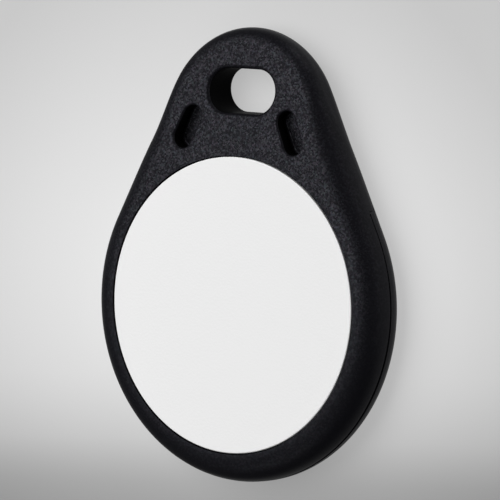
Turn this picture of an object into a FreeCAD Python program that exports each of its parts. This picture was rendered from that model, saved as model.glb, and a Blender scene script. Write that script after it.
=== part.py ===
"""Contactless key fob: a teardrop of black plastic with a white disc let into its face.

The fob lies on its back. The origin is on the axis of the round bowl, in the plane that the fob
rests on. +Z is up through the white disc, and +Y runs from the bowl to the key-ring slot.
All sizes are in millimetres.

The front shell carries the face, the whole thickness of the ear, the slot and two blind pockets.
A back cover closes the bowl, located by a spigot and welded on a tongue. A fine shadow gap shows
where the two meet. Between them lies the transponder: a wound coil and a chip module on a thin
carrier disc.
"""
import FreeCAD
import Part
import math
import os

Vector = FreeCAD.Vector

# Outline of the teardrop
bowl_radius = 18.0
ear_radius = 10.0
thickness = 5.0

# Soft edges all round, with a tighter round to the back than to the face
bowl_back_round = 2.0
ear_back_round = 1.6
edge_band = 0.3            # upright stretch between the two rounds

# The ear thins towards its end, at its face and at its back
taper_run = 7.4            # from the lower end of the straight flank to where the taper begins
face_fall = 0.085          # fall of the face for each millimetre of length
back_rise = 0.04
taper_blend = 40.0         # radius that leads into each slope

# Slot for the key ring
slot_width = 8.2
slot_height = 4.5
slot_web = 1.35            # from the bowl's circle to the slot
slot_wall = 4.15           # from the slot to the end of the ear
slot_edge_bevel = 0.4

# Blind pockets beside the slot, which keep the moulded ear from sinking
pocket_length = 4.6
pocket_width = 2.2
pocket_depth = 2.0         # from the level of the white disc to the pocket's floor
pocket_inset = 4.35        # from the straight flank to the middle of the pocket's upper end
pocket_wall = 1.6          # from the slot's round end to the pocket
pocket_turn = 1.4          # degrees by which a pocket is more upright than the flank
pocket_edge_bevel = 0.28
pocket_floor_bevel = 0.25

# White disc in its recess
disc_radius = 15.0
disc_thickness = 0.5
disc_gap = 0.1
disc_edge_bevel = 0.12
tape_thickness = 0.1
tape_inset = 0.6

# Seam between the front shell and the back cover
seam_depth = 2.6           # from the face to the seam
crown_inset = 1.4          # how far the cover's upper edge stays inside the bowl's circle
cover_flank_run = 2.65     # how far the seam follows the straight flank beyond the bowl
cover_gap = 0.1
shadow_gap_height = 0.25
shadow_gap_depth = 0.45

# Hollow inside the bowl
rim_wall = 4.5             # from the bowl's outline to the hollow
wall_under_disc = 1.2
spigot_gap = 0.1
spigot_wall = 0.8
spigot_end_gap = 0.3       # from the spigot's end to the shell's ceiling
tongue_offset = 1.3        # from the hollow to the middle of the weld tongue
tongue_width = 0.6
tongue_height = 0.4
tongue_gap = 0.1

# Transponder
carrier_gap = 0.2
carrier_thickness = 0.3
coil_clearance = 1.0       # from the dish's wall to the coil
coil_width = 2.2
coil_height = 0.9
coil_edge_bevel = 0.15
hold_down_gap = 0.1
hold_down_height = 0.5
hold_down_width = 0.8
lead_radius = 0.12
bond_length = 0.9
bond_width = 0.5
module_length = 8.0
module_width = 5.1
module_gap = 1.4           # from the coil to the module's corners
frame_thickness = 0.12
cap_length = 4.8
cap_width = 4.4
cap_height = 0.25
cap_edge_bevel = 0.1

def on_circle(radius, degrees, y=0.0, z=0.0):
    """A point on a circle about the fob's middle line, its angle measured from +X."""
    angle = math.radians(degrees)
    return Vector(radius * math.cos(angle), y + radius * math.sin(angle), z)


# Places that follow from the sizes above
slot_y = bowl_radius + slot_web + slot_height / 2
ear_offset = slot_y + slot_height / 2 + slot_wall - ear_radius
tangent_angle = math.degrees(math.asin((bowl_radius - ear_radius) / ear_offset))
flank_start = on_circle(bowl_radius, tangent_angle)
flank_end = on_circle(ear_radius, tangent_angle, ear_offset)
taper_start = flank_start.y + taper_run * math.cos(math.radians(tangent_angle))
ear_end = ear_offset + ear_radius
end_thickness = thickness - (face_fall + back_rise) * (ear_end - taper_start)
bowl_face_round = thickness - bowl_back_round - edge_band
ear_face_round = end_thickness - ear_back_round - edge_band
recess_floor = thickness - disc_thickness - tape_thickness
cavity_radius = bowl_radius - rim_wall
cavity_ceiling = recess_floor - wall_under_disc
cover_height = thickness - seam_depth
cover_crown = bowl_radius - crown_inset
dish_radius = cavity_radius - spigot_gap - spigot_wall
tongue_radius = cavity_radius + tongue_offset
coil_outer_radius = dish_radius - coil_clearance
coil_inner_radius = coil_outer_radius - coil_width
coil_top = cavity_ceiling - hold_down_height - hold_down_gap
carrier_top = coil_top - coil_height
cover_floor = carrier_top - carrier_thickness
frame_top = carrier_top + frame_thickness
overrun = 1.0              # how far a cutter runs past the face that it cuts
bevel_margin = 0.05        # how far above a pocket's floor bevel its mouth may begin


def ring(inner, outer, bottom, top):
    """A plain ring about the bowl's axis."""
    height = top - bottom
    base = Vector(0, 0, bottom)
    return Part.makeCylinder(outer, height, base).cut(Part.makeCylinder(inner, height, base))


def prism(wire, bottom, top):
    """A closed flat wire, drawn at height 0, raised between two heights."""
    face = Part.Face(wire)
    face.translate(Vector(0, 0, bottom))
    return face.extrude(Vector(0, 0, top - bottom))


def outline(inset):
    """The teardrop's outline moved inwards: bowl arc, two straight flanks and ear arc."""
    bowl, ear, a = bowl_radius - inset, ear_radius - inset, tangent_angle
    bowl_right, bowl_left = on_circle(bowl, a), on_circle(bowl, 180 - a)
    ear_right, ear_left = on_circle(ear, a, ear_offset), on_circle(ear, 180 - a, ear_offset)
    return Part.Wire([
        Part.Arc(bowl_left, on_circle(bowl, -90), bowl_right).toShape(),
        Part.LineSegment(bowl_right, ear_right).toShape(),
        Part.Arc(ear_right, on_circle(ear, 90, ear_offset), ear_left).toShape(),
        Part.LineSegment(ear_left, bowl_left).toShape(),
    ])


def half_outline():
    """The right half of the outline, closed along the middle line."""
    bottom, top = on_circle(bowl_radius, -90), on_circle(ear_radius, 90, ear_offset)
    ear_middle = on_circle(ear_radius, (tangent_angle + 90) / 2, ear_offset)
    return Part.Wire([
        Part.Arc(bottom, on_circle(bowl_radius, 0), flank_start).toShape(),
        Part.LineSegment(flank_start, flank_end).toShape(),
        Part.Arc(flank_end, ear_middle, top).toShape(),
        Part.LineSegment(top, bottom).toShape(),
    ])


def bent_line(start, bend, end):
    """The edges of a line that bends once, the bend eased by the blend radius."""
    before, after = (bend - start).normalize(), (end - bend).normalize()
    half_turn = before.getAngle(after) / 2
    reach = taper_blend * math.tan(half_turn)
    leave, join = bend - before * reach, bend + after * reach
    rise = taper_blend / math.cos(half_turn) - taper_blend
    middle = bend + (after - before).normalize() * rise
    return [
        Part.LineSegment(start, leave).toShape(),
        Part.Arc(leave, middle, join).toShape(),
        Part.LineSegment(join, end).toShape(),
    ]


def side_profile():
    """The fob's flat bowl and tapered ear, seen from the side and raised across its whole width."""
    low, far = -bowl_radius - overrun, ear_end + overrun
    run = far - taper_start
    back = [Vector(0, low, 0), Vector(0, taper_start, 0), Vector(0, far, back_rise * run)]
    face = [Vector(0, far, thickness - face_fall * run), Vector(0, taper_start, thickness),
            Vector(0, low, thickness)]
    edges = bent_line(*back) + bent_line(*face)
    edges.append(Part.LineSegment(back[-1], face[0]).toShape())
    edges.append(Part.LineSegment(face[-1], back[0]).toShape())
    side = Part.Face(Part.Wire(Part.__sortEdges__(edges)))
    return side.extrude(Vector(bowl_radius + overrun, 0, 0))


def rim_edges(solid, low, high):
    """Numbers and edges of the outline between two heights, without those on the middle line."""
    return [(number, e) for number, e in enumerate(solid.Edges, 1)
            if low < e.BoundBox.ZMin and e.BoundBox.ZMax < high
            and e.BoundBox.XMax > 1e-3 and e.BoundBox.YLength > 1e-3]


def round_rim(solid, low, high, bowl_round, ear_round):
    """Rounds the outline's edges between two heights, its radius changing along the taper."""
    document = FreeCAD.newDocument("rim")
    base = document.addObject("Part::Feature", "base")
    base.Shape = solid
    rounded = document.addObject("Part::Fillet", "rounded")
    rounded.Base = base
    rounded.Edges = [
        (number, *(ear_round if e.valueAt(t).y > flank_end.y - 1e-3 else bowl_round
                   for t in (e.FirstParameter, e.LastParameter)))
        for number, e in rim_edges(solid, low, high)
    ]
    document.recompute()
    shape = rounded.Shape.copy()
    FreeCAD.closeDocument(document.Name)
    return shape


def pebble():
    """The whole closed fob without its openings, made as one half and its mirror image."""
    half = prism(half_outline(), 0, thickness).common(side_profile())
    middle = thickness / 2
    half = round_rim(half, middle, thickness + overrun, bowl_face_round, ear_face_round)
    half = round_rim(half, -overrun, middle, bowl_back_round, ear_back_round)
    return half.fuse(half.mirror(Vector(0, 0, 0), Vector(1, 0, 0))).removeSplitter()


def cover_zone(gap, bottom, top):
    """The round column that marks off the cover's share of the bowl, less a gap at its edge."""
    end = on_circle(bowl_radius, tangent_angle) + on_circle(cover_flank_run, tangent_angle + 90)
    rise = cover_crown - end.y
    radius = (end.x ** 2 + rise ** 2) / (2 * rise)
    base = Vector(0, cover_crown - radius, bottom)
    return Part.makeCylinder(radius - gap, top - bottom, base)


def shadow_gap(bottom, top):
    """The strip just inside the outline that is left open at the seam."""
    outer = prism(outline(-overrun), bottom, top)
    strip = outer.cut(prism(outline(shadow_gap_depth), bottom, top))
    return strip.common(cover_zone(0, bottom, top))


def obround(length, width, bottom, top):
    """A round-ended bar along X, centred on the origin."""
    reach, radius = (length - width) / 2, width / 2
    corners = [Vector(x, y, 0) for x, y in
               ((-reach, -radius), (reach, -radius), (reach, radius), (-reach, radius))]
    return prism(Part.Wire([
        Part.LineSegment(corners[0], corners[1]).toShape(),
        Part.Arc(corners[1], Vector(reach + radius, 0, 0), corners[2]).toShape(),
        Part.LineSegment(corners[2], corners[3]).toShape(),
        Part.Arc(corners[3], Vector(-reach - radius, 0, 0), corners[0]).toShape(),
    ]), bottom, top)


def flat_edges(solid, height):
    """The edges of a solid that lie wholly at one height."""
    return [e for e in solid.Edges
            if abs(e.BoundBox.ZMin - height) < 1e-4 and abs(e.BoundBox.ZMax - height) < 1e-4]


def mouth_edges(solid, cutter, floor):
    """The edges that a cutter leaves where it breaks out through a face above its floor."""
    box = cutter.BoundBox
    box.enlarge(1e-3)
    return [e for e in solid.Edges
            if e.BoundBox.XLength + e.BoundBox.YLength > 1e-3 and e.BoundBox.ZMin > floor
            and box.isInside(e.CenterOfMass)
            and cutter.distToShape(Part.Vertex(e.valueAt(e.FirstParameter)))[0] < 1e-4]


def ring_slot():
    """The cutter for the key-ring slot, right through the ear."""
    cutter = obround(slot_width, slot_height, -overrun, thickness + overrun)
    cutter.translate(Vector(0, slot_y, 0))
    return cutter


def pocket_place():
    """Middle of the right pocket's upper end: inside the flank, and a wall away from the slot."""
    start = on_circle(bowl_radius - pocket_inset, tangent_angle)
    along = on_circle(1, tangent_angle + 90)
    to_slot_end = Vector((slot_width - slot_height) / 2, slot_y, 0) - start
    level = to_slot_end.dot(along)
    aside = to_slot_end.cross(along).Length
    reach = slot_height / 2 + pocket_wall + pocket_width / 2
    return start + along * (level - math.sqrt(reach ** 2 - aside ** 2))


def pocket(side):
    """The cutter for one blind pocket, its floor's edge bevelled."""
    cutter = obround(pocket_length, pocket_width, thickness - pocket_depth, thickness + overrun)
    floor_edges = flat_edges(cutter, thickness - pocket_depth)
    cutter = cutter.makeChamfer(pocket_floor_bevel, floor_edges)
    cutter.translate(Vector((pocket_width - pocket_length) / 2, 0, 0))
    cutter.rotate(Vector(0, 0, 0), Vector(0, 0, 1), 90 + side * (tangent_angle - pocket_turn))
    place = pocket_place()
    cutter.translate(Vector(side * place.x, place.y, 0))
    return cutter


def front_shell():
    """Face, rim and full-thickness ear, open at the back of the bowl."""
    shell = pebble()
    shell = shell.cut(cover_zone(0, -overrun, cover_height))
    shell = shell.cut(Part.makeCylinder(cavity_radius, cavity_ceiling))
    shell = shell.cut(shadow_gap(cover_height, cover_height + shadow_gap_height / 2))
    shell = shell.cut(weld_groove())
    recess_height = thickness - recess_floor + overrun
    recess = Part.makeCylinder(disc_radius + disc_gap, recess_height, Vector(0, 0, recess_floor))
    shell = shell.cut(recess)
    shell = cut_opening(shell, ring_slot(), slot_edge_bevel, -overrun)
    pocket_floor = thickness - pocket_depth + pocket_floor_bevel
    for side in (1, -1):
        shell = cut_opening(shell, pocket(side), pocket_edge_bevel, pocket_floor + bevel_margin)
    return shell.fuse(hold_down_rib()).removeSplitter()


def cut_opening(shell, cutter, bevel, floor):
    """Cuts an opening and bevels its edge at each face that it breaks through above its floor."""
    shell = shell.cut(cutter)
    return shell.makeChamfer(bevel, mouth_edges(shell, cutter, floor))


def weld_groove():
    """The groove in the front shell that takes the cover's tongue."""
    half = tongue_width / 2 + tongue_gap
    top = cover_height + tongue_height + tongue_gap
    return ring(tongue_radius - half, tongue_radius + half, cover_height, top)


def hold_down_rib():
    """A ring under the shell's ceiling that keeps the coil on its carrier."""
    middle = (coil_inner_radius + coil_outer_radius) / 2
    inner = middle - hold_down_width / 2
    bottom = cavity_ceiling - hold_down_height
    return ring(inner, inner + hold_down_width, bottom, cavity_ceiling)


def back_cover():
    """Round back of the bowl: a shallow dish with a locating spigot and a weld tongue."""
    cover = pebble().common(cover_zone(cover_gap, 0, cover_height))
    cover = cover.cut(shadow_gap(cover_height - shadow_gap_height / 2, cover_height))
    cover = cover.cut(Part.makeCylinder(dish_radius, cover_height, Vector(0, 0, cover_floor)))
    spigot_top = cavity_ceiling - spigot_end_gap
    spigot = ring(dish_radius, dish_radius + spigot_wall, cover_height, spigot_top)
    half = tongue_width / 2
    tongue_top = cover_height + tongue_height
    tongue = ring(tongue_radius - half, tongue_radius + half, cover_height, tongue_top)
    return cover.multiFuse([spigot, tongue]).removeSplitter()


def front_disc():
    """White disc, flush with the face."""
    disc = Part.makeCylinder(disc_radius, disc_thickness, Vector(0, 0, thickness - disc_thickness))
    return disc.makeChamfer(disc_edge_bevel, flat_edges(disc, thickness))


def disc_tape():
    """Double-sided tape that holds the white disc in its recess."""
    return Part.makeCylinder(disc_radius - tape_inset, tape_thickness, Vector(0, 0, recess_floor))


def inlay_carrier():
    """Thin disc that carries the coil and the chip module."""
    radius = dish_radius - carrier_gap
    return Part.makeCylinder(radius, carrier_thickness, Vector(0, 0, cover_floor))


def coil_winding():
    """The wound ring, its wires bonded into one bundle with softened edges."""
    winding = ring(coil_inner_radius, coil_outer_radius, carrier_top, coil_top)
    return winding.makeChamfer(coil_edge_bevel, flat_edges(winding, coil_top))


def coil_lead(side):
    """One end of the coil's wire, led over to a pad and pressed flat where it is bonded."""
    x = side * (cap_length + module_length) / 4
    pad_end = module_edge() + bond_length
    start_y = -math.sqrt((coil_inner_radius + coil_width / 2) ** 2 - x ** 2)
    height = frame_top + lead_radius
    wire = Part.makeCylinder(lead_radius, pad_end - start_y, Vector(x, start_y, height), Vector(0, 1, 0))
    foot_corner = Vector(x - bond_width / 2, pad_end, frame_top)
    foot = Part.makeBox(bond_width, bond_length, lead_radius, foot_corner)
    return wire.fuse(foot)


def antenna_coil():
    """Copper coil with its two leads, one length of wire."""
    return coil_winding().multiFuse([coil_lead(1), coil_lead(-1)]).removeSplitter()


def module_edge():
    """Where the module's lower edge lies, its corners clear of the coil."""
    return -math.sqrt((coil_inner_radius - module_gap) ** 2 - (module_length / 2) ** 2)


def chip_module():
    """Chip on a lead frame under a moulded cap. The frame's bare ends are the bonding pads."""
    frame_corner = Vector(-module_length / 2, module_edge(), carrier_top)
    frame = Part.makeBox(module_length, module_width, frame_thickness, frame_corner)
    margin = (module_width - cap_width) / 2
    cap_corner = Vector(-cap_length / 2, module_edge() + margin, frame_top)
    cap = Part.makeBox(cap_length, cap_width, cap_height, cap_corner)
    cap = cap.makeChamfer(cap_edge_bevel, flat_edges(cap, frame_top + cap_height))
    return frame.fuse(cap).removeSplitter()


PARTS = {
    "front_shell": front_shell,
    "back_cover": back_cover,
    "front_disc": front_disc,
    "disc_tape": disc_tape,
    "inlay_carrier": inlay_carrier,
    "antenna_coil": antenna_coil,
    "chip_module": chip_module,
}

os.makedirs("parts", exist_ok=True)
for name, make in PARTS.items():
    shape = make()
    if len(shape.Solids) == 1:
        shape = shape.Solids[0]
    shape.exportStep("parts/" + name + ".step")
    print(name, "solids", len(shape.Solids), "valid", shape.isValid(), "volume", round(shape.Volume, 2))
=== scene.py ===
"""Looks of a teardrop key fob that lies on its back on a pale floor.

The fob's own frame is kept: the origin is on the bowl's axis in the plane of the back, +Y runs to
the key-ring slot and +Z comes out of the face with the white disc. Lengths are in millimetres,
and a finished mesh is scaled to metres in one place. The relief of the materials is in metres.
"""

import math

import bmesh
import bpy
from mathutils import Matrix, Vector


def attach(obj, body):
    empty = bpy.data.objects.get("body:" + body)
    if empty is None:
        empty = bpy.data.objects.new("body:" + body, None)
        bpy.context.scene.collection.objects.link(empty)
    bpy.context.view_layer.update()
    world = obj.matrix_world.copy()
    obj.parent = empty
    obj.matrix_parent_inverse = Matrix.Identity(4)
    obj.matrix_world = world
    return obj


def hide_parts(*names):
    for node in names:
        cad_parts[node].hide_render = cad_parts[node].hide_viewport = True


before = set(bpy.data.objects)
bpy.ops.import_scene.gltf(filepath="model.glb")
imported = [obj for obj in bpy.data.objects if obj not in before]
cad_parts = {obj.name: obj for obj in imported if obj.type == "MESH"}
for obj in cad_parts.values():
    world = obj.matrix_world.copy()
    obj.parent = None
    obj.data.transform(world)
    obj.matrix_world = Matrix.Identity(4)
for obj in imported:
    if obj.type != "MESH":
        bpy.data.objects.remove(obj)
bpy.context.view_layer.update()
MM = 0.001

# Outline of the teardrop
BOWL_RADIUS = 18.0
EAR_RADIUS = 10.0
EAR_OFFSET = 18.0
THICKNESS = 5.0
TANGENT = math.asin((BOWL_RADIUS - EAR_RADIUS) / EAR_OFFSET)

# Rounds at the rim, as width and depth, and the taper of the ear
BOWL_FACE_ROUND = (2.85, 2.6)
EAR_FACE_ROUND = (1.84, 1.6)
BOWL_BACK_ROUND = (2.0, 2.0)
EAR_BACK_ROUND = (1.6, 1.6)
TAPER_START = 14.63
TAPER_BLEND = 1.7             # how far the blend into each slope reaches to either side
FACE_FALL = 0.085
BACK_RISE = 0.04

# Openings in the face, and the disc
SLOT_WIDTH = 8.2
SLOT_HEIGHT = 4.5
SLOT_Y = 21.6
SLOT_MOUTH = 0.45
POCKET_LENGTH = 4.6
POCKET_WIDTH = 2.2
POCKET_FLOOR = 3.15
POCKET_MOUTH = 0.28
POCKET_FLOOR_ROUND = 0.25
POCKET_TURN = 25.0            # degrees by which a pocket leans from the middle line
POCKET_PLACE = (6.42, 17.7)
RECESS_RADIUS = 15.1
RECESS_FLOOR = 4.4
RECESS_MOUTH = 0.05
MOUTH_START = math.radians(8.0)  # where a mouth's round begins, so that it cuts the face cleanly
WALL_MARGIN = 0.02            # how far beyond an opening's size its walls are looked for
WALL_LEAN = 0.3               # largest upward part of an upright wall's normal
DISC_RADIUS = 14.96
DISC_BOTTOM = 4.5
DISC_EDGE = 0.12

# Seam and inside of the bowl
SEAM_HEIGHT = 2.4
SEAM_GAP = 0.38
SEAM_END_SHARE = 0.4          # of the gap that is left where the seam ends on the flank
SEAM_DEPTH = 0.45
SEAM_CORNERS = 4
COVER_CROWN = 16.6
COVER_FLANK_RUN = 2.65
COVER_GAP = 0.1
COVER_END_X = BOWL_RADIUS * math.cos(TANGENT) - COVER_FLANK_RUN * math.sin(TANGENT)
COVER_END_Y = BOWL_RADIUS * math.sin(TANGENT) + COVER_FLANK_RUN * math.cos(TANGENT)
CAVITY_RADIUS = 13.5
CAVITY_CEILING = 3.2
RIB_INNER = 10.1
RIB_OUTER = 10.9
RIB_BOTTOM = 2.7
GROOVE_INNER = 14.4
GROOVE_OUTER = 15.2
GROOVE_TOP = 2.9
DISH_RADIUS = 12.6
DISH_FLOOR = 1.4
SPIGOT_OUTER = 13.4
SPIGOT_TOP = 2.9
TONGUE_INNER = 14.5
TONGUE_OUTER = 15.1
TONGUE_TOP = 2.8

# How finely the meshes are divided
ARC_STEP = math.radians(1.5)
FLANK_STEPS = 34
FACE_STEPS = 16
BACK_STEPS = 12
ROW_CELLS = 14
ROUND_STEPS = 8
TURN_STEPS = 256
END_STEPS = 28
OVERRUN = 1.0                 # how far a cutter reaches beyond what it cuts
SHARP_ANGLE = math.radians(32.0)

# Black moulding. The limits are of how far the surface faces up: 0 on a wall, 1 on the face.
BLACK = (0.0058, 0.0057, 0.0072, 1)
BLACK_ROUGHNESS = 0.39
GRAIN_SCALE = 6200.0
GRAIN_DETAIL = 3.0
GRAIN_FINENESS = 0.7
GRAIN_HEIGHT = 0.000025
GRAIN_LIMITS = (0.8, 0.98)
GRAIN_STRENGTH = (0.35, 1.0)
GLINT = (0.003, 0.0245)       # least and most share of light that the grain's facets send back
GLINT_POWER = 1.8             # makes bright facets rare
GLINT_MEAN = 0.06             # what all facets are evened towards at the bowl
GLINT_REACH = (-8.0, 10.0)    # heights up the fob between which the facets liven
GLINT_SHARE = (0.4, 1.0)
GLINT_LIMITS = (0.7, 0.99)
GLINT_AT_WALL = (0.3, 1.0)
SHINE_LIMITS = (0.3, 0.65)
SHINE = (0.07, 0.01)          # of the plastic between the facets, on walls and on the face
TINT = (0.86, 0.87, 1.0, 1)
TINT_SHARE = 0.8

# Other materials. A relief is a pattern's scale and detail, and the relief's height and strength.
# A darker black painted on the walls of the slot, the pockets and the disc's recess as shade.
OPENING_SHADE_BLACK = (0.0022, 0.0022, 0.0024, 1)
CORE_ROUGHNESS = 0.5
CORE_SHINE = 0.01
CORE_RELIEF = (GRAIN_SCALE, 2.0, GRAIN_HEIGHT, 0.2)
WHITE = (0.83, 0.83, 0.83, 1)
WHITE_ROUGHNESS = 0.55
WHITE_SHINE = 0.2
WHITE_RELIEF = (3800.0, 3.0, 0.00002, 0.8)
FILM = (0.8, 0.8, 0.78, 1)
FILM_ROUGHNESS = 0.25
FILM_SHINE = 0.5
FILM_RELIEF = (120.0, 1.0, 0.00008, 0.3)
TAPE_DARK = (0.68, 0.65, 0.55, 1)
TAPE_LIGHT = (0.8, 0.77, 0.68, 1)
TAPE_ROUGHNESS = 0.45
TAPE_RELIEF = (900.0, 4.0, 0.00002, 0.4)
COPPER = (0.6, 0.24, 0.1, 1)
COPPER_ROUGHNESS = 0.3
ENAMEL = 0.6
WIRE_SCALE = 1500.0
WIRE_WANDER = 0.3
WIRE_HEIGHT = 0.00003
WIRE_STRENGTH = 0.7
TIN = (0.7, 0.7, 0.68, 1)
CAP_BLACK = (0.02, 0.02, 0.02, 1)
FRAME_TOP = 1.83              # just above the top of the module's lead frame
MODULE_SCALE = 5000.0
MODULE_DETAIL = 2.0
MODULE_ROUGHNESS = (0.3, 0.5)

# Sockets of a Mix node that holds colours
MIX_FIRST = 6
MIX_SECOND = 7
MIX_RESULT = 2

# Floor: painted shade up the picture, darkest at its bottom, a painted pool of light round one place,
# and the share the camera sees unshaded
FLOOR_HALF = 1000.0
# The floor's tone up the picture is painted shade, darkest at the bottom.
SHADE_FADE_START = -24.0
SHADE_FADE_END = 32.0
SHADE_FADE_TURN = math.radians(3.9)
SHADE_FADE_STOPS = (
    (0.0, 0.27), (0.1, 0.31), (0.18, 0.47), (0.3, 0.58), (0.5, 0.62), (0.72, 0.61), (1.0, 0.57),
)
# A painted pool of light on the floor round this place.
LIGHT_POOL_PLACE = (-5.0, -1.8)
LIGHT_POOL_RADIUS = 41.0
LIGHT_POOL_GAIN = 1.56
PLAIN_SHARE = 0.6

# Camera: a long lens that looks down on the fob from its right
CAMERA_AIM = Vector((-1.52, 5.29, 0.0))
CAMERA_DISTANCE = 609.2
CAMERA_TURN = 6.89            # degrees from +X towards +Y, seen from above
CAMERA_HEIGHT = 52.96         # degrees above the floor
CAMERA_ROLL = 1.74
CAMERA_REACH = 10000.0
LENS = 432.0
SENSOR_WIDTH = 36.0

# Lamps: turn and height in degrees as for the camera, width, length and power in watts
LAMPS = {
    "key": (145, 57, 700, 780, 4.5),
    "right": (12, 15, 250, 700, 1.1),
    "low": (-110, 35, 400, 300, 0.5),
    "back": (78, 8, 250, 200, 1.0),
}
LAMP_AIM = Vector((0, 5, 0))
LAMP_DISTANCE = 600.0
WORLD_COLOUR = (1, 1, 1, 1)
WORLD_STRENGTH = 0.1


def smooth_step(value):
    """0 to 1 with level ends."""
    value = min(max(value, 0.0), 1.0)
    return value * value * (3 - 2 * value)


def taper(y):
    """Distance run along the taper at that height up the fob, eased where it begins."""
    run = y - TAPER_START
    if run <= -TAPER_BLEND:
        return 0.0
    if run >= TAPER_BLEND:
        return run
    return (run + TAPER_BLEND) ** 2 / (4 * TAPER_BLEND)


def face_height(y):
    """Height of the face at that height up the fob."""
    return THICKNESS - FACE_FALL * taper(y)


def back_height(y):
    """Height of the back at that height up the fob."""
    return BACK_RISE * taper(y)


def rim_rounds(y):
    """Width and depth of the rounds to the face and to the back, for a point of the outline."""
    start = TAPER_START + TAPER_BLEND
    end = EAR_OFFSET + EAR_RADIUS * math.sin(TANGENT)
    share = smooth_step((y - start) / (end - start))
    face = [low + (high - low) * share for low, high in zip(BOWL_FACE_ROUND, EAR_FACE_ROUND)]
    back = [low + (high - low) * share for low, high in zip(BOWL_BACK_ROUND, EAR_BACK_ROUND)]
    return face, back


def arc_point(radius, middle, angle):
    """A point (x, y, normal x, normal y) of an arc about a place on the middle line."""
    nx = math.cos(angle)
    ny = math.sin(angle)
    return radius * nx, middle + radius * ny, nx, ny


def right_outline():
    """Points (x, y, normal x, normal y) up the right side, from the lowest point to the ear's end."""
    points = []
    bowl_steps = round((TANGENT + math.pi / 2) / ARC_STEP)
    for i in range(bowl_steps):
        angle = -math.pi / 2 + (TANGENT + math.pi / 2) * i / bowl_steps
        points.append(arc_point(BOWL_RADIUS, 0, angle))
    for i in range(FLANK_STEPS):
        share = i / FLANK_STEPS
        radius = BOWL_RADIUS + (EAR_RADIUS - BOWL_RADIUS) * share
        points.append(arc_point(radius, EAR_OFFSET * share, TANGENT))
    ear_steps = round((math.pi / 2 - TANGENT) / ARC_STEP)
    for i in range(ear_steps + 1):
        angle = TANGENT + (math.pi / 2 - TANGENT) * i / ear_steps
        points.append(arc_point(EAR_RADIUS, EAR_OFFSET, angle))
    return points


def new_object(name, points, faces):
    """A mesh object made of points in millimetres."""
    mesh = bpy.data.meshes.new(name)
    mesh.from_pydata(points, [], faces)
    mesh.validate()
    made = bpy.data.objects.new(name, mesh)
    bpy.context.collection.objects.link(made)
    return made


def mirrored(loop):
    """The left-hand points that close a right-hand loop, without the two on the middle line."""
    return [(-x, y, z) for x, y, z in reversed(loop[1:-1])]


def rim_ring(angle, side):
    """Right-hand points of the rim at one angle of the round to the face (side 0) or back (side 1)."""
    ring = []
    for x, y, nx, ny in right_outline():
        width, depth = rim_rounds(y)[side]
        inset = width * (1 - math.cos(angle))
        px = x - nx * inset
        py = y - ny * inset
        drop = depth * (1 - math.sin(angle))
        ring.append((px, py, back_height(py) + drop if side else face_height(py) - drop))
    return ring


def rim_sections():
    """The rings of the rim from the face's edge round to the back's."""
    face = [rim_ring(math.pi / 2 * (1 - i / FACE_STEPS), 0) for i in range(FACE_STEPS + 1)]
    back = [rim_ring(math.pi / 2 * i / BACK_STEPS, 1) for i in range(BACK_STEPS + 1)]
    return face + back


def fill_end(points, faces, loop, ring, height, facing):
    """Rows of cells inside the rim, across the face (facing 1) or the back (facing -1)."""
    rows = []
    last = len(ring) - 1
    for k in range(1, last):
        x, y = ring[k][:2]
        row = [loop[len(loop) - k]]
        for c in range(1, ROW_CELLS):
            row.append(len(points))
            points.append((-x + 2 * x * c / ROW_CELLS, y, height(y)))
        row.append(loop[k])
        rows.append(row)
    for lower, upper in zip(rows, rows[1:]):
        for c in range(ROW_CELLS):
            faces.append((lower[c], lower[c + 1], upper[c + 1], upper[c])[::facing])
    for c in range(ROW_CELLS):
        faces.append((loop[0], rows[0][c + 1], rows[0][c])[::facing])
        faces.append((loop[last], rows[-1][c], rows[-1][c + 1])[::facing])


def pebble(name):
    """The closed fob without its openings: rounded rim, and rows of cells over face and back."""
    rings = rim_sections()
    points = []
    faces = []
    loops = []
    for ring in rings:
        loop = ring + mirrored(ring)
        loops.append(range(len(points), len(points) + len(loop)))
        points += loop
    count = len(loops[0])
    for upper, lower in zip(loops, loops[1:]):
        for i in range(count):
            j = (i + 1) % count
            faces.append((upper[i], lower[i], lower[j], upper[j]))
    fill_end(points, faces, loops[0], rings[0], face_height, 1)
    fill_end(points, faces, loops[-1], rings[-1], back_height, -1)
    return new_object(name, points, faces)


def circle(radius, height, middle=0.0):
    """Points of a level circle about a place on the middle line."""
    angles = [2 * math.pi * i / TURN_STEPS for i in range(TURN_STEPS)]
    return [(radius * math.cos(a), middle + radius * math.sin(a), height) for a in angles]


def lathe(name, profile):
    """A closed profile of (radius, height) points turned about the bowl's axis."""
    points = []
    faces = []
    rings = []
    for radius, height in profile:
        if radius == 0:
            rings.append([len(points)] * TURN_STEPS)
            points.append((0, 0, height))
            continue
        rings.append(list(range(len(points), len(points) + TURN_STEPS)))
        points += circle(radius, height)
    for a, b in zip(rings, rings[1:] + rings[:1]):
        if a[0] == a[1] and b[0] == b[1]:
            continue
        for i in range(TURN_STEPS):
            j = (i + 1) % TURN_STEPS
            faces.append(tuple(dict.fromkeys((a[i], a[j], b[j], b[i]))))
    return new_object(name, points, faces)


def stacked(name, loops):
    """A closed solid from equal loops of points, capped at both ends."""
    count = len(loops[0])
    points = [p for loop in loops for p in loop]
    faces = [tuple(range(count)), tuple(range(len(points) - 1, len(points) - count - 1, -1))]
    for k in range(len(loops) - 1):
        for i in range(count):
            j = (i + 1) % count
            faces.append((k * count + i, (k + 1) * count + i, (k + 1) * count + j, k * count + j))
    return new_object(name, points, faces)


def obround(length, width, turn, place):
    """Points of a round-ended bar, turned and placed in plan."""
    radius = width / 2
    reach = (length - width) / 2
    flat = []
    for side in (1, -1):
        for i in range(END_STEPS + 1):
            angle = -math.pi / 2 + math.pi * i / END_STEPS
            flat.append((side * (reach + radius * math.cos(angle)), side * radius * math.sin(angle)))
    c = math.cos(turn)
    s = math.sin(turn)
    return [(place[0] + x * c - y * s, place[1] + x * s + y * c) for x, y in flat]


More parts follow.
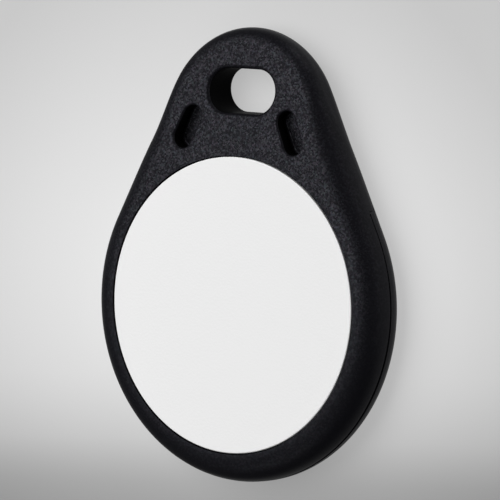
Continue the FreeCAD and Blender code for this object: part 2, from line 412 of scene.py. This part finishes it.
def mouth_steps(radius):
    """Spread and depth of a rounded mouth, from just above the face down to the straight wall."""
    spread = radius * (1 - math.sin(MOUTH_START))
    depth = radius * (1 - math.cos(MOUTH_START))
    lead = 2 * depth / math.sin(MOUTH_START)
    steps = [(spread + lead * math.cos(MOUTH_START), depth - lead * math.sin(MOUTH_START))]
    for i in range(ROUND_STEPS + 1):
        angle = MOUTH_START + (math.pi / 2 - MOUTH_START) * i / ROUND_STEPS
        steps.append((radius * (1 - math.sin(angle)), radius * (1 - math.cos(angle))))
    return steps


def mouth_loops(bar, radius, surface, facing):
    """Loops of a bar's rounded mouth, from outside the face (facing 1) or back (-1) inwards."""
    length, width, turn, place = bar
    steps = mouth_steps(radius)
    loops = []
    for spread, depth in [(steps[0][0], -OVERRUN)] + steps:
        plan = obround(length + 2 * spread, width + 2 * spread, turn, place)
        loops.append([(x, y, surface(y) - facing * depth) for x, y in plan])
    return loops


def slot_cutter():
    """The key-ring slot, its mouth rounded at the face and at the back."""
    bar = (SLOT_WIDTH, SLOT_HEIGHT, 0, (0, SLOT_Y))
    from_face = mouth_loops(bar, SLOT_MOUTH, face_height, 1)
    from_back = mouth_loops(bar, SLOT_MOUTH, back_height, -1)
    return stacked("slot_cutter", from_face + from_back[::-1])


def pocket_cutter(side):
    """One blind pocket with a rounded mouth and a small round at its floor."""
    turn = math.radians(90 + side * POCKET_TURN)
    place = (side * POCKET_PLACE[0], POCKET_PLACE[1])
    loops = mouth_loops((POCKET_LENGTH, POCKET_WIDTH, turn, place), POCKET_MOUTH, face_height, 1)
    for i in range(ROUND_STEPS + 1):
        angle = math.pi / 2 * i / ROUND_STEPS
        inset = POCKET_FLOOR_ROUND * (1 - math.cos(angle))
        height = POCKET_FLOOR + POCKET_FLOOR_ROUND * (1 - math.sin(angle))
        plan = obround(POCKET_LENGTH - 2 * inset, POCKET_WIDTH - 2 * inset, turn, place)
        loops.append([(x, y, height) for x, y in plan])
    return stacked("pocket_cutter", loops)


def recess_cutter():
    """The disc's recess, with a fine round at its edge."""
    steps = mouth_steps(RECESS_MOUTH)
    profile = [(0, RECESS_FLOOR), (RECESS_RADIUS, RECESS_FLOOR)]
    profile += [(RECESS_RADIUS + spread, THICKNESS - depth) for spread, depth in steps[::-1]]
    profile += [(RECESS_RADIUS + steps[0][0], THICKNESS + OVERRUN), (0, THICKNESS + OVERRUN)]
    return lathe("recess_cutter", profile)


def cover_column(gap):
    """The round column that marks off the cover's share of the bowl, up to the seam."""
    rise = COVER_CROWN - COVER_END_Y
    radius = (COVER_END_X ** 2 + rise ** 2) / (2 * rise)
    middle = COVER_CROWN - radius
    loops = [circle(radius - gap, height, middle) for height in (-OVERRUN, SEAM_HEIGHT)]
    return stacked("cover_column", loops)


def seam_cutter(below, above):
    """The strip just inside the outline that is left open at the seam, from flank to flank."""
    side = [p for p in right_outline() if p[1] <= COVER_END_Y]
    run = [(-x, y, -nx, ny) for x, y, nx, ny in reversed(side[1:])] + side
    points = []
    faces = []
    for x, y, nx, ny in run:
        rise = smooth_step((y + BOWL_RADIUS) / (COVER_END_Y + BOWL_RADIUS))
        share = 1 + (SEAM_END_SHARE - 1) * rise
        for inset in (-OVERRUN, SEAM_DEPTH):
            for reach in (below, above):
                points.append((x - nx * inset, y - ny * inset, SEAM_HEIGHT + reach * share))
    last = SEAM_CORNERS * (len(run) - 1)
    for a in range(0, last, SEAM_CORNERS):
        b = a + SEAM_CORNERS
        for p, q in ((0, 1), (1, 3), (3, 2), (2, 0)):
            faces.append((a + p, a + q, b + q, b + p))
    faces.append((0, 2, 3, 1))
    faces.append((last, last + 1, last + 3, last + 2))
    return new_object("seam_cutter", points, faces)


def face_outwards(piece):
    """Makes all normals of a closed mesh point outwards."""
    work = bmesh.new()
    work.from_mesh(piece.data)
    bmesh.ops.recalc_face_normals(work, faces=work.faces)
    work.to_mesh(piece.data)
    work.free()


def carve(piece, tools, operation="DIFFERENCE"):
    """Cuts the tools from a piece, or joins them to it, one after another."""
    for tool in tools:
        face_outwards(tool)
        modifier = piece.modifiers.new("carve", "BOOLEAN")
        modifier.operation = operation
        modifier.object = tool
        modifier.solver = "EXACT"
        shaped = piece.evaluated_get(bpy.context.evaluated_depsgraph_get())
        mesh = bpy.data.meshes.new_from_object(shaped)
        piece.modifiers.clear()
        piece.data = mesh
        bpy.data.objects.remove(tool)


def finish_piece(piece, material, node):
    """Scales a piece to metres, shades it smoothly and puts it in the place of its CAD node."""
    piece.data.transform(Matrix.Scale(MM, 4))
    piece.data.shade_smooth()
    piece.data.set_sharp_from_angle(angle=SHARP_ANGLE)
    weights = piece.modifiers.new("weights", "WEIGHTED_NORMAL")
    weights.keep_sharp = True
    piece.data.materials.clear()
    piece.data.materials.append(material)
    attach(piece, "root")
    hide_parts(node)


def paint_opening_shade(shell, material):
    """Gives the upright walls of the slot, the pockets and the recess their own finish, whose darker
    black is painted shade.
    """
    shell.data.materials.append(material)
    reach = (SLOT_WIDTH - SLOT_HEIGHT) / 2
    for face in shell.data.polygons:
        x, y, z = face.center / MM
        from_slot = math.hypot(max(abs(x) - reach, 0), y - SLOT_Y) - SLOT_HEIGHT / 2
        from_pocket = math.hypot(abs(x) - POCKET_PLACE[0], y - POCKET_PLACE[1]) - POCKET_LENGTH / 2
        from_recess = max(math.hypot(x, y) - RECESS_RADIUS, RECESS_FLOOR - z)
        near = min(from_slot, from_pocket, from_recess) < WALL_MARGIN
        if near and abs(face.normal.z) < WALL_LEAN:
            face.material_index = 1


def make_front_shell(material, walls):
    """The front moulding: face, rim and ear, hollow inside the bowl."""
    shell = pebble("front_shell_skin")
    face_outwards(shell)
    cavity = [
        (0, SEAM_HEIGHT - OVERRUN),
        (0, CAVITY_CEILING),
        (RIB_INNER, CAVITY_CEILING),
        (RIB_INNER, RIB_BOTTOM),
        (RIB_OUTER, RIB_BOTTOM),
        (RIB_OUTER, CAVITY_CEILING),
        (CAVITY_RADIUS, CAVITY_CEILING),
        (CAVITY_RADIUS, SEAM_HEIGHT - OVERRUN),
    ]
    groove = [
        (GROOVE_INNER, SEAM_HEIGHT - OVERRUN),
        (GROOVE_INNER, GROOVE_TOP),
        (GROOVE_OUTER, GROOVE_TOP),
        (GROOVE_OUTER, SEAM_HEIGHT - OVERRUN),
    ]
    carve(shell, [
        slot_cutter(),
        pocket_cutter(1),
        pocket_cutter(-1),
        recess_cutter(),
        cover_column(0),
        seam_cutter(-2 * SEAM_GAP, SEAM_GAP / 2),
        lathe("cavity_cutter", cavity),
        lathe("groove_cutter", groove),
    ])
    finish_piece(shell, material, "front_shell")
    paint_opening_shade(shell, walls)


def ring_profile(inner, outer, bottom, top):
    """The four corners of a plain ring's section."""
    return [(inner, bottom), (inner, top), (outer, top), (outer, bottom)]


def make_back_cover(material):
    """The round back moulding with its dish, spigot and weld tongue."""
    cover = pebble("back_cover_skin")
    face_outwards(cover)
    carve(cover, [cover_column(COVER_GAP)], "INTERSECT")
    dish = [(0, DISH_FLOOR), (DISH_RADIUS, DISH_FLOOR), (DISH_RADIUS, THICKNESS), (0, THICKNESS)]
    carve(cover, [
        seam_cutter(-SEAM_GAP / 2, 2 * SEAM_GAP),
        lathe("dish_cutter", dish),
    ])
    root = SEAM_HEIGHT - SEAM_GAP
    carve(cover, [
        lathe("spigot", ring_profile(DISH_RADIUS, SPIGOT_OUTER, root, SPIGOT_TOP)),
        lathe("tongue", ring_profile(TONGUE_INNER, TONGUE_OUTER, root, TONGUE_TOP)),
    ], "UNION")
    finish_piece(cover, material, "back_cover")


def make_front_disc(material):
    """The white disc with a small round at its upper edge."""
    profile = [(0, DISC_BOTTOM), (DISC_RADIUS, DISC_BOTTOM)]
    for i in range(ROUND_STEPS + 1):
        angle = math.pi / 2 * i / ROUND_STEPS
        radius = DISC_RADIUS - DISC_EDGE * (1 - math.cos(angle))
        height = THICKNESS - DISC_EDGE * (1 - math.sin(angle))
        profile.append((radius, height))
    profile.append((0, THICKNESS))
    disc = lathe("front_disc_skin", profile)
    face_outwards(disc)
    finish_piece(disc, material, "front_disc")


def direction(turn, height):
    """The unit vector that points away from the fob at those angles in degrees."""
    turn = math.radians(turn)
    height = math.radians(height)
    level = math.cos(height)
    return Vector((math.cos(turn) * level, math.sin(turn) * level, math.sin(height)))


def aimed(place, target, roll=0.0):
    """Matrix of a camera or lamp at a place, its -Z at the target and its +Y along the fob."""
    back = (place - target).normalized()
    right = Vector((0, 1, 0)).cross(back).normalized()
    up = back.cross(right)
    turn = Matrix((right, up, back)).transposed() @ Matrix.Rotation(math.radians(roll), 3, "Z")
    return Matrix.Translation(place * MM) @ turn.to_4x4()


def make_camera():
    """The photograph's viewpoint."""
    data = bpy.data.cameras.new("camera")
    data.sensor_width = SENSOR_WIDTH
    data.lens = LENS
    data.clip_end = CAMERA_REACH * MM
    camera = bpy.data.objects.new("camera", data)
    bpy.context.collection.objects.link(camera)
    place = CAMERA_AIM + direction(CAMERA_TURN, CAMERA_HEIGHT) * CAMERA_DISTANCE
    camera.matrix_world = aimed(place, CAMERA_AIM, CAMERA_ROLL)
    bpy.context.scene.camera = camera


def make_lamp(name, turn, height, width, length, power):
    """A soft rectangular lamp that faces the fob."""
    data = bpy.data.lights.new(name, "AREA")
    data.shape = "RECTANGLE"
    data.size = width * MM
    data.size_y = length * MM
    data.energy = power
    lamp = bpy.data.objects.new(name, data)
    bpy.context.collection.objects.link(lamp)
    lamp.matrix_world = aimed(direction(turn, height) * LAMP_DISTANCE, LAMP_AIM)


def make_world():
    """Weak plain light from all round."""
    world = bpy.data.worlds.new("world")
    world.use_nodes = True
    background = world.node_tree.nodes["Background"]
    background.inputs["Color"].default_value = WORLD_COLOUR
    background.inputs["Strength"].default_value = WORLD_STRENGTH
    bpy.context.scene.world = world


def new_material(name):
    """A node material, its nodes and its links."""
    material = bpy.data.materials.new(name)
    material.use_nodes = True
    return material, material.node_tree.nodes, material.node_tree.links


def add_node(nodes, kind, **values):
    """A node with its settings, named by their attribute or input names."""
    node = nodes.new("ShaderNode" + kind)
    for key, value in values.items():
        if hasattr(node, key):
            setattr(node, key, value)
        else:
            node.inputs[key.replace("_", " ")].default_value = value
    return node


def add_texture(nodes, links, kind, **values):
    """A texture laid out in the object's own frame."""
    place = add_node(nodes, "TexCoord")
    texture = add_node(nodes, kind, **values)
    links.new(place.outputs["Object"], texture.inputs["Vector"])
    return texture


def add_relief(nodes, links, pattern, height, strength=1.0):
    """Raises the plain shader's surface by a pattern."""
    bump = add_node(nodes, "Bump", Distance=height, Strength=strength)
    links.new(pattern, bump.inputs["Height"])
    links.new(bump.outputs["Normal"], nodes["Principled BSDF"].inputs["Normal"])
    return bump


def add_noise_relief(nodes, links, relief):
    """Raises the plain shader's surface by a noise, and gives the noise."""
    scale, detail, height, strength = relief
    noise = add_texture(nodes, links, "TexNoise", Scale=scale, Detail=detail).outputs["Fac"]
    add_relief(nodes, links, noise, height, strength)
    return noise


def parts_of(nodes, links, source):
    """The X, Y and Z of a vector or a colour."""
    parts = add_node(nodes, "SeparateXYZ")
    links.new(source, parts.inputs["Vector"])
    return parts.outputs


def eased(nodes, links, source, limits, results):
    """Passes softly from the first result to the second while the source crosses its limits."""
    low, high = limits
    first, second = results
    ramp = add_node(nodes, "MapRange", interpolation_type="SMOOTHSTEP", From_Min=low, From_Max=high,
                    To_Min=first, To_Max=second)
    links.new(source, ramp.inputs["Value"])
    return ramp.outputs["Result"]


def product(nodes, links, first, second):
    """One value times another."""
    times = add_node(nodes, "Math", operation="MULTIPLY")
    links.new(first, times.inputs[0])
    links.new(second, times.inputs[1])
    return times.outputs["Value"]


def two_colours(nodes, links, share, first, second):
    """A colour between two, by a share."""
    tone = add_node(nodes, "Mix", data_type="RGBA")
    tone.inputs[MIX_FIRST].default_value = first
    tone.inputs[MIX_SECOND].default_value = second
    links.new(share, tone.inputs["Factor"])
    links.new(tone.outputs[MIX_RESULT], nodes["Principled BSDF"].inputs["Base Color"])


def show_both(nodes, links, share, first, second):
    """Gives the material a mix of two shaders."""
    mix = add_node(nodes, "MixShader")
    links.new(share, mix.inputs["Fac"])
    links.new(first, mix.inputs[1])
    links.new(second, mix.inputs[2])
    links.new(mix.outputs["Shader"], nodes["Material Output"].inputs["Surface"])


def glint_share(nodes, links, place, speckle, facing):
    """How much the grain's facets send back: in specks, less at the bowl and on the walls."""
    rare = add_node(nodes, "Math", operation="POWER")
    rare.inputs[1].default_value = GLINT_POWER
    links.new(speckle["X"], rare.inputs[0])
    reach = [height * MM for height in GLINT_REACH]
    up_the_fob = parts_of(nodes, links, place)["Y"]
    even = add_node(nodes, "Mix", A=GLINT_MEAN)
    links.new(eased(nodes, links, up_the_fob, reach, GLINT_SHARE), even.inputs["Factor"])
    links.new(rare.outputs["Value"], even.inputs["B"])
    low, high = GLINT
    glint = add_node(nodes, "MapRange", To_Min=low, To_Max=high)
    links.new(even.outputs["Result"], glint.inputs["Value"])
    level = eased(nodes, links, facing, GLINT_LIMITS, GLINT_AT_WALL)
    return product(nodes, links, glint.outputs["Result"], level)


def glint_tint(nodes, links, speckle):
    """The faint hue that changes from facet to facet."""
    hue = add_node(nodes, "CombineXYZ")
    for source, target in zip("YZX", "XYZ"):
        links.new(speckle[source], hue.inputs[target])
    tint = add_node(nodes, "Mix", data_type="RGBA", blend_type="SOFT_LIGHT")
    tint.inputs["Factor"].default_value = TINT_SHARE
    tint.inputs[MIX_FIRST].default_value = TINT
    links.new(hue.outputs["Vector"], tint.inputs[MIX_SECOND])
    return tint.outputs[MIX_RESULT]


def black_plastic():
    """Black moulding with a spark-eroded grain that is weaker round the edges and on the walls."""
    material, nodes, links = new_material("black moulding")
    shader = nodes["Principled BSDF"]
    shader.inputs["Base Color"].default_value = BLACK
    shader.inputs["Roughness"].default_value = BLACK_ROUGHNESS
    place = add_node(nodes, "TexCoord")
    facing = parts_of(nodes, links, place.outputs["Normal"])["Z"]
    grain = add_texture(nodes, links, "TexNoise", Scale=GRAIN_SCALE, Detail=GRAIN_DETAIL,
                        Roughness=GRAIN_FINENESS)
    bump = add_relief(nodes, links, grain.outputs["Fac"], GRAIN_HEIGHT)
    links.new(eased(nodes, links, facing, GRAIN_LIMITS, GRAIN_STRENGTH), bump.inputs["Strength"])
    shine = eased(nodes, links, facing, SHINE_LIMITS, SHINE)
    links.new(shine, shader.inputs["Specular IOR Level"])
    cells = add_texture(nodes, links, "TexVoronoi", Scale=GRAIN_SCALE)
    speckle = parts_of(nodes, links, cells.outputs["Color"])
    facets = add_node(nodes, "BsdfAnisotropic", Roughness=BLACK_ROUGHNESS)
    links.new(glint_tint(nodes, links, speckle), facets.inputs["Color"])
    links.new(bump.outputs["Normal"], facets.inputs["Normal"])
    share = glint_share(nodes, links, place.outputs["Object"], speckle, facing)
    show_both(nodes, links, share, shader.outputs["BSDF"], facets.outputs["BSDF"])
    return material


def plain_material(name, colour, roughness, shine, relief):
    """One colour with a noise for its relief."""
    material, nodes, links = new_material(name)
    shader = nodes["Principled BSDF"]
    shader.inputs["Base Color"].default_value = colour
    shader.inputs["Roughness"].default_value = roughness
    shader.inputs["Specular IOR Level"].default_value = shine
    add_noise_relief(nodes, links, relief)
    return material


def opening_shade_finish():
    """The smoother, duller surface of the walls that the mould's cores leave in the openings, in a
    darker black that is painted shade.
    """
    return plain_material("black with painted opening shade", OPENING_SHADE_BLACK, CORE_ROUGHNESS, CORE_SHINE, CORE_RELIEF)


def white_plastic():
    """Matt white disc with a faint grain."""
    return plain_material("white disc", WHITE, WHITE_ROUGHNESS, WHITE_SHINE, WHITE_RELIEF)


def carrier_film():
    """Smooth white film with faint waves."""
    return plain_material("white film", FILM, FILM_ROUGHNESS, FILM_SHINE, FILM_RELIEF)


def adhesive_tape():
    """Cloudy double-sided tape."""
    material, nodes, links = new_material("cloudy tape")
    nodes["Principled BSDF"].inputs["Roughness"].default_value = TAPE_ROUGHNESS
    cloud = add_noise_relief(nodes, links, TAPE_RELIEF)
    two_colours(nodes, links, cloud, TAPE_DARK, TAPE_LIGHT)
    return material


def copper_winding():
    """Fine turns of copper wire under clear enamel."""
    material, nodes, links = new_material("enamelled copper")
    shader = nodes["Principled BSDF"]
    shader.inputs["Base Color"].default_value = COPPER
    shader.inputs["Metallic"].default_value = 1.0
    shader.inputs["Roughness"].default_value = COPPER_ROUGHNESS
    shader.inputs["Coat Weight"].default_value = ENAMEL
    turns = add_texture(nodes, links, "TexWave", wave_type="RINGS", rings_direction="Z",
                        Scale=WIRE_SCALE, Distortion=WIRE_WANDER)
    add_relief(nodes, links, turns.outputs["Fac"], WIRE_HEIGHT, WIRE_STRENGTH)
    return material


def module_finish():
    """Tinned lead frame at the bottom, black moulded cap above it."""
    material, nodes, links = new_material("chip module")
    shader = nodes["Principled BSDF"]
    place = add_node(nodes, "TexCoord")
    cap = add_node(nodes, "Math", operation="GREATER_THAN")
    cap.inputs[1].default_value = FRAME_TOP * MM
    links.new(parts_of(nodes, links, place.outputs["Object"])["Z"], cap.inputs[0])
    two_colours(nodes, links, cap.outputs["Value"], TIN, CAP_BLACK)
    metal = add_node(nodes, "MapRange", To_Min=1.0, To_Max=0.0)
    links.new(cap.outputs["Value"], metal.inputs["Value"])
    links.new(metal.outputs["Result"], shader.inputs["Metallic"])
    matt = add_texture(nodes, links, "TexNoise", Scale=MODULE_SCALE, Detail=MODULE_DETAIL)
    low, high = MODULE_ROUGHNESS
    rough = add_node(nodes, "MapRange", To_Min=low, To_Max=high)
    links.new(matt.outputs["Fac"], rough.inputs["Value"])
    links.new(rough.outputs["Result"], shader.inputs["Roughness"])
    return material


def floor_tone_with_painted_light(nodes, links):
    """The floor's colour: painted shade up the picture, darkest at its bottom, with a painted pool of
    light round one place.
    """
    place = add_node(nodes, "TexCoord")
    along = add_node(nodes, "VectorMath", operation="DOT_PRODUCT")
    along.inputs[1].default_value = (-math.sin(SHADE_FADE_TURN), math.cos(SHADE_FADE_TURN), 0)
    links.new(place.outputs["Object"], along.inputs[0])
    rise = add_node(nodes, "MapRange", From_Min=SHADE_FADE_START * MM, From_Max=SHADE_FADE_END * MM)
    links.new(along.outputs["Value"], rise.inputs["Value"])
    shade_fade = add_node(nodes, "ValToRGB")
    ramp = shade_fade.color_ramp
    ramp.interpolation = "B_SPLINE"
    for position, _ in SHADE_FADE_STOPS[1:-1]:
        ramp.elements.new(position)
    for element, (position, value) in zip(ramp.elements, SHADE_FADE_STOPS):
        element.position = position
        element.color = (value, value, value, 1)
    links.new(rise.outputs["Result"], shade_fade.inputs["Fac"])
    reach = add_node(nodes, "VectorMath", operation="DISTANCE")
    reach.inputs[1].default_value = (LIGHT_POOL_PLACE[0] * MM, LIGHT_POOL_PLACE[1] * MM, 0)
    links.new(place.outputs["Object"], reach.inputs[0])
    light_pool = add_node(nodes, "MapRange", From_Max=LIGHT_POOL_RADIUS * MM, To_Min=LIGHT_POOL_GAIN, To_Max=1.0)
    links.new(reach.outputs["Value"], light_pool.inputs["Value"])
    tone = add_node(nodes, "VectorMath", operation="SCALE")
    links.new(shade_fade.outputs["Color"], tone.inputs[0])
    links.new(light_pool.outputs["Result"], tone.inputs["Scale"])
    return tone.outputs["Vector"]


def unshaded_share(nodes, links):
    """The share of plain colour that the camera, reflections and glass see."""
    ray = add_node(nodes, "LightPath")
    seen = ray.outputs["Is Camera Ray"]
    for kind in ("Is Glossy Ray", "Is Transmission Ray"):
        either = add_node(nodes, "Math", operation="ADD", use_clamp=True)
        links.new(seen, either.inputs[0])
        links.new(ray.outputs[kind], either.inputs[1])
        seen = either.outputs["Value"]
    share = add_node(nodes, "Math", operation="MULTIPLY")
    share.inputs[1].default_value = PLAIN_SHARE
    links.new(seen, share.inputs[0])
    return share.outputs["Value"]


def floor_material():
    """A pale matt floor, of which the camera sees a part as its plain colour."""
    material, nodes, links = new_material("floor")
    shader = nodes["Principled BSDF"]
    shader.inputs["Roughness"].default_value = 1.0
    shader.inputs["Specular IOR Level"].default_value = 0.0
    plain = add_node(nodes, "Emission")
    tone = floor_tone_with_painted_light(nodes, links)
    links.new(tone, shader.inputs["Base Color"])
    links.new(tone, plain.inputs["Color"])
    share = unshaded_share(nodes, links)
    show_both(nodes, links, share, shader.outputs["BSDF"], plain.outputs["Emission"])
    return material


def make_floor():
    """A plain floor under the fob."""
    half = FLOOR_HALF * MM
    mesh = bpy.data.meshes.new("floor")
    corners = [(-half, -half, 0), (half, -half, 0), (half, half, 0), (-half, half, 0)]
    mesh.from_pydata(corners, [], [(0, 1, 2, 3)])
    floor = bpy.data.objects.new("floor", mesh)
    bpy.context.collection.objects.link(floor)
    floor.data.materials.append(floor_material())


make_camera()
make_floor()
for name, settings in LAMPS.items():
    make_lamp(name, *settings)
make_world()
bpy.context.scene.view_settings.view_transform = "Standard"

black = black_plastic()
make_front_shell(black, opening_shade_finish())
make_back_cover(black)
make_front_disc(white_plastic())
inside = {
    "disc_tape": adhesive_tape(),
    "inlay_carrier": carrier_film(),
    "antenna_coil": copper_winding(),
    "chip_module": module_finish(),
}
for name, material in inside.items():
    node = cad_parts[name]
    node.data.materials.clear()
    node.data.materials.append(material)
